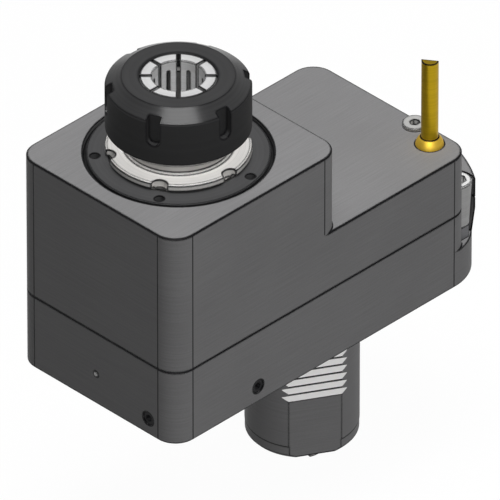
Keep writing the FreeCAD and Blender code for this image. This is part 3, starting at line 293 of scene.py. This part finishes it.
def blackened_housing():
    """Oil-blackened steel with fine grinding marks, darker on the broken edges, painted shade in gaps, and
    ground shank teeth with painted light on their upward flanks and painted shade on their undersides and
    crests.
    """
    material, tree, shader = new_finish("blackened_housing", 0.0, 0.15)
    place = Place(tree)
    marks = ground_marks(tree, place, 2600.0, 55.0)
    cloud = noise(tree, place.point, (26.0, 26.0, 26.0), 3.0)
    specks = noise(tree, place.point, (1900.0, 1900.0, 1900.0), 2.0)
    body = shaded(tree, (0.264, 0.262, 0.266), spread(tree, marks, 0.06))
    body = shaded(tree, body, spread(tree, cloud, 0.045))
    body = shaded(tree, body, spread(tree, specks, 0.03))

    # Painted light and shade on the shank teeth: upward flanks near white as if lit, undersides and crests
    # near black as if shaded.
    teeth = toothed_part(tree, place)
    to_flat = towards_teeth(tree, place.nx, place.ny)
    lit_tooth_flanks = calc(tree, "MULTIPLY", teeth, rise(tree, place.nz, 0.3, 0.45))
    crests = calc(tree, "MULTIPLY", rise(tree, place.nz, 0.3, 0.2), rise(tree, to_flat, 0.93, 0.98))
    undersides = rise(tree, place.nz, -0.3, -0.45)
    tooth_shade = calc(tree, "MULTIPLY", teeth, calc(tree, "MAXIMUM", undersides, crests))

    above_shank = rise(tree, place.z, -1.0 * MM, 0.0)
    slopes = calc(tree, "MULTIPLY", chamfered(tree, place), above_shank)
    edges = calc(tree, "MAXIMUM", sharp_edges(tree, HOUSING_EDGE_REACH), slopes)
    edges = calc(tree, "MAXIMUM", edges, corner_lines(tree, place))
    relief_line = line_at(tree, off_by(tree, place.z, RELIEF_TOP))
    relief_line = calc(tree, "MULTIPLY", relief_line, rise(tree, to_flat, 0.98, 0.93))
    edges = calc(tree, "MAXIMUM", edges, relief_line)
    edges = calc(tree, "MULTIPLY", edges, calc(tree, "SUBTRACT", 1.0, teeth))

    body = mixed(tree, edges, body, OXIDE_AND_SHADE)
    # Painted shade deep in slots, holes and gaps.
    body = shaded(tree, body, painted_gap_shade(tree, 0.25))
    # Painted light on the teeth's upward flanks, then painted shade on their undersides and crests.
    body = mixed(tree, lit_tooth_flanks, body, GROUND_AND_LIT_TOOTH)
    body = mixed(tree, tooth_shade, body, OXIDE_AND_SHADE)
    feed(tree, shader.inputs["Base Color"], body)

    dull = calc(tree, "MULTIPLY_ADD", cloud, 0.12, 0.40)
    dull = calc(tree, "MULTIPLY_ADD", marks, 0.10, dull)
    feed(tree, shader.inputs["Roughness"], dull)
    height = calc(tree, "MULTIPLY_ADD", specks, 0.35, marks)
    relief(tree, shader, height, GROUND_DEPTH, 0.5)
    return material


def turned_finish(
    name, axis, colour, metallic, roughness, specular=0.5,
    edge=EDGE_REACH, shelter=0.12, wall=1.0, upright=1.0, slope=1.0, paired=False,
):
    """A turned steel, brass or blackened part: marks round its axis, uneven tone and darkened edges.

    shelter scales the painted shade deep in slots and gaps, and wall is the painted shade on upright walls.
    upright scales the roughness of upright walls, and slope that of slopes. A paired part lies on both
    sides.
    """
    material, tree, shader = new_finish(name, metallic, specular)
    place = Place(tree, axis, paired)
    marks = rings(tree, place, 2200.0)
    broad = rings(tree, place, 360.0, 1.0)
    cloud = noise(tree, place.point, (60.0, 60.0, 60.0), 3.0)
    body = shaded(tree, colour, spread(tree, marks, 0.07))
    body = shaded(tree, body, spread(tree, broad, 0.05))
    body = shaded(tree, body, spread(tree, cloud, 0.05))
    # Painted shade: upright walls darker than level faces by the wall factor.
    body = shaded(tree, body, on_walls(tree, place, wall))
    if edge:
        body = mixed(tree, sharp_edges(tree, edge), body, OXIDE_AND_SHADE)
        # Painted shade deep in slots, holes and gaps.
        body = shaded(tree, body, painted_gap_shade(tree, shelter))
    feed(tree, shader.inputs["Base Color"], body)
    dull = calc(tree, "MULTIPLY_ADD", cloud, 0.10, roughness - 0.05)
    dull = calc(tree, "MULTIPLY_ADD", marks, 0.08, dull)
    if upright != 1.0:
        dull = calc(tree, "MULTIPLY", dull, on_walls(tree, place, upright))
    if slope != 1.0:
        off_walls = rise(tree, place.level, 0.6, 0.75)
        off_level = rise(tree, place.level, 0.97, 0.9)
        sloping = calc(tree, "MULTIPLY", off_walls, off_level)
        dull = calc(tree, "MULTIPLY", dull, rise(tree, sloping, 0.0, 1.0, 1.0, slope))
    feed(tree, shader.inputs["Roughness"], dull)
    relief(tree, shader, marks, TURNED_DEPTH, 0.5)
    return material


def moulded_rubber():
    """Black o-ring and seal rubber with a fine grain and a faint bloom."""
    material, tree, shader = new_finish("moulded_rubber", 0.0, 0.4)
    place = Place(tree)
    grain = noise(tree, place.point, (2500.0, 2500.0, 2500.0), 3.0)
    bloom = noise(tree, place.point, (140.0, 140.0, 140.0), 2.0)
    body = shaded(tree, (0.022, 0.022, 0.022), spread(tree, bloom, 0.25))
    feed(tree, shader.inputs["Base Color"], body)
    feed(tree, shader.inputs["Roughness"], calc(tree, "MULTIPLY_ADD", bloom, 0.2, 0.5))
    relief(tree, shader, grain, TURNED_DEPTH, 0.4)
    return material


# By the pieces' material slots
# A wall factor below paints shade on upright walls, and shelter sets the painted shade in gaps.
FINISHES = {
    "housing_steel": blackened_housing(),
    "dark_ring_steel": turned_finish("blackened_ring", SPINDLE_AXIS, (0.078, 0.078, 0.080), 0.0, 0.5, 0.15),
    "ground_steel": turned_finish(
        "ground_ring", SPINDLE_AXIS, (0.94, 0.92, 0.89), 0.1, 0.36, edge=WIDE_EDGE_REACH, wall=0.80
    ),
    "spindle_steel": turned_finish("ground_spindle", SPINDLE_AXIS, (0.36, 0.35, 0.34), 0.3, 0.32),
    "nut_steel": turned_finish(
        "black_oxide_nut", SPINDLE_AXIS, (0.042, 0.042, 0.043), 0.0, 0.38, 0.24,
        edge=WIDE_EDGE_REACH, shelter=0.7, wall=0.62, upright=1.8, slope=0.50,
    ),
    "collet_steel": turned_finish("ground_collet", SPINDLE_AXIS, (0.76, 0.76, 0.76), 0.2, 0.32),
    "gear_steel": turned_finish("gear_steel", SPINDLE_AXIS, (0.42, 0.42, 0.44), 0.8, 0.35, 0.5, None),
    "bearing_steel": turned_finish("bearing_steel", SPINDLE_AXIS, (0.62, 0.62, 0.64), 1.0, 0.15, 0.5, None),
    "cage_brass": turned_finish("cage_brass", SPINDLE_AXIS, (0.60, 0.45, 0.20), 1.0, 0.30, 0.5, None),
    "spring_steel": turned_finish("spring_steel", SPINDLE_AXIS, (0.22, 0.22, 0.24), 0.5, 0.40, 0.5, None),
    "rubber": moulded_rubber(),
    "black_screw": turned_finish("black_screw", SHANK_AXIS, (0.022, 0.022, 0.024), 0.0, 0.45, 0.15),
    "bright_steel": turned_finish("bright_screw", DECK_PLUG_AXIS, (0.56, 0.56, 0.55), 0.2, 0.30),
    "nozzle_brass": turned_finish("turned_brass", NOZZLE_AXIS, (0.54, 0.36, 0.015), 1.0, 0.30),
}

# By node, for pieces that differ from their slot's finish
OWN_FINISHES = {
    # The bolts' wall factor paints shade on their upright walls.
    "alignment_bolts": turned_finish(
        "bright_bolt", BOLT_AXIS, (0.95, 0.95, 0.94), 0.0, 0.30, shelter=0.6, wall=0.6, paired=True
    ),
    "nozzle_ball": turned_finish("polished_brass", NOZZLE_AXIS, (0.74, 0.50, 0.06), 1.0, 0.50),
    "alignment_jam_nuts": turned_finish(
        "plain_jam_nut", BOLT_AXIS, (0.20, 0.20, 0.21), 0.2, 0.40, paired=True
    ),
}

for subpart in frame["record"]["subparts"]:
    piece = NODES[subpart["node"]]
    piece.data.materials.clear()
    finish = OWN_FINISHES.get(subpart["node"], FINISHES[subpart["material_slot"]])
    piece.data.materials.append(finish)


# Floor, studio light and camera

FLOOR_HEIGHT = cad_box[0].z
FLOOR_REACH = 12.0
SURROUND_IN_GLOSS = 0.55
WHITE = (1.0, 1.0, 1.0, 1.0)
PALE_FLOOR = (0.98, 0.98, 0.98, 1.0)
DIM_FLOOR = (0.10, 0.10, 0.10, 1.0)

# The middle of the photograph, its corner view, the width that it shows and its long lens in millimetres
CENTRE = Vector((2.7, -28.2, 30.0)) * MM
ISOMETRIC = (1.0, -1.0, 1.0)
SHOWN_WIDTH = 171.8 * MM
LENS = 1600.0
SENSOR_WIDTH = 36.0


def seen_plainly(tree):
    """One for what the camera sees, a part of it for what reflections see, and nothing for light."""
    path = tree.nodes.new("ShaderNodeLightPath")
    seen = calc(tree, "MAXIMUM", path.outputs["Is Camera Ray"], path.outputs["Is Transmission Ray"])
    return calc(tree, "MULTIPLY_ADD", path.outputs["Is Glossy Ray"], SURROUND_IN_GLOSS, seen)


def floor_finish():
    """Pale floor: white with a soft shadow to camera and reflections, and dim to what it would light."""
    material, tree, shader = new_finish("studio_floor", 0.0, 0.0)
    tree.nodes.remove(shader)
    seen = seen_plainly(tree)
    colour = mixed(tree, seen, DIM_FLOOR, PALE_FLOOR)
    matt = put(tree, "ShaderNodeBsdfDiffuse", {"Color": colour})
    glow = put(tree, "ShaderNodeEmission", {"Color": WHITE, "Strength": 1.03})
    share = calc(tree, "MULTIPLY", seen, 0.86)
    both = put(tree, "ShaderNodeMixShader", {0: share, 1: matt.outputs[0], 2: glow.outputs[0]})
    feed(tree, tree.nodes["Material Output"].inputs["Surface"], both.outputs[0])
    return material


def make_floor():
    """A plain floor under the shank, which belongs to the stage and not to the part."""
    shape = bmesh.new()
    bmesh.ops.create_grid(shape, x_segments=1, y_segments=1, size=FLOOR_REACH)
    bmesh.ops.translate(shape, verts=shape.verts, vec=(0.0, 0.0, FLOOR_HEIGHT))
    mesh = bpy.data.meshes.new("studio_floor")
    shape.to_mesh(mesh)
    shape.free()
    floor = bpy.data.objects.new("studio_floor", mesh)
    bpy.context.scene.collection.objects.link(floor)
    mesh.materials.append(floor_finish())


def soft_light(name, direction, distance, size, level, shadow=True, mirrored=True, lighting=True):
    """A square lamp that lights a face turned to it as brightly as the level says, 1 being white.

    One that isn't mirrored gives no reflection, and one that isn't lighting gives a reflection alone.
    """
    lamp = bpy.data.lights.new(name, "AREA")
    lamp.shape = "SQUARE"
    lamp.size = size
    lamp.energy = level * (math.pi * distance) ** 2
    lamp.use_shadow = shadow
    holder = bpy.data.objects.new(name, lamp)
    bpy.context.scene.collection.objects.link(holder)
    direction = Vector(direction).normalized()
    holder.location = CENTRE + direction * distance
    holder.rotation_mode = "QUATERNION"
    holder.rotation_quaternion = direction.to_track_quat("Z", "Y")
    holder.visible_camera = False
    holder.visible_glossy = mirrored
    holder.visible_diffuse = lighting


def make_world():
    """A dim even surround for light, which the camera and reflections see as a pale wall."""
    world = bpy.data.worlds.new("studio")
    bpy.context.scene.world = world
    world.use_nodes = True
    tree = world.node_tree
    background = tree.nodes["Background"]
    path = tree.nodes.new("ShaderNodeLightPath")
    seen = seen_plainly(tree)
    coordinates = tree.nodes.new("ShaderNodeTexCoord")
    direction = put(tree, "ShaderNodeSeparateXYZ", {0: coordinates.outputs["Generated"]})
    wall = rise(tree, direction.outputs[2], 0.9, 0.25, 0.45, 1.0)
    level = calc(tree, "MULTIPLY", seen, wall)
    dim = calc(tree, "MULTIPLY", path.outputs["Is Diffuse Ray"], 0.03)
    feed(tree, background.inputs["Color"], WHITE)
    feed(tree, background.inputs["Strength"], calc(tree, "ADD", level, dim))


def make_camera():
    """A long lens from the photograph's corner view, which is isometric."""
    lens = bpy.data.cameras.new("camera")
    lens.type = "PERSP"
    lens.lens = LENS
    lens.sensor_width = SENSOR_WIDTH
    lens.clip_start = 0.5
    lens.clip_end = 30.0
    camera = bpy.data.objects.new("camera", lens)
    bpy.context.scene.collection.objects.link(camera)
    back = Vector(ISOMETRIC).normalized()
    camera.location = CENTRE + back * (SHOWN_WIDTH * LENS / SENSOR_WIDTH)
    camera.rotation_mode = "QUATERNION"
    camera.rotation_quaternion = back.to_track_quat("Z", "Y")
    bpy.context.scene.camera = camera


make_floor()
make_world()
soft_light("overhead_softbox", (0.03, -0.03, 1.0), 1.7, 0.9, 0.20)
soft_light("overhead_fill", (0.03, -0.03, 1.0), 1.8, 0.95, 0.57, shadow=False)
soft_light("side_fill", (0.88, -0.24, 0.35), 1.8, 1.0, 0.31, shadow=False, mirrored=False)
soft_light("front_glint", ISOMETRIC, 1.8, 0.8, 0.60, shadow=False, lighting=False)
soft_light("rear_fill", (-0.75, 0.6, 0.25), 1.8, 1.0, 0.22, shadow=False, mirrored=False)
make_camera()
bpy.context.scene.view_settings.view_transform = "Standard"
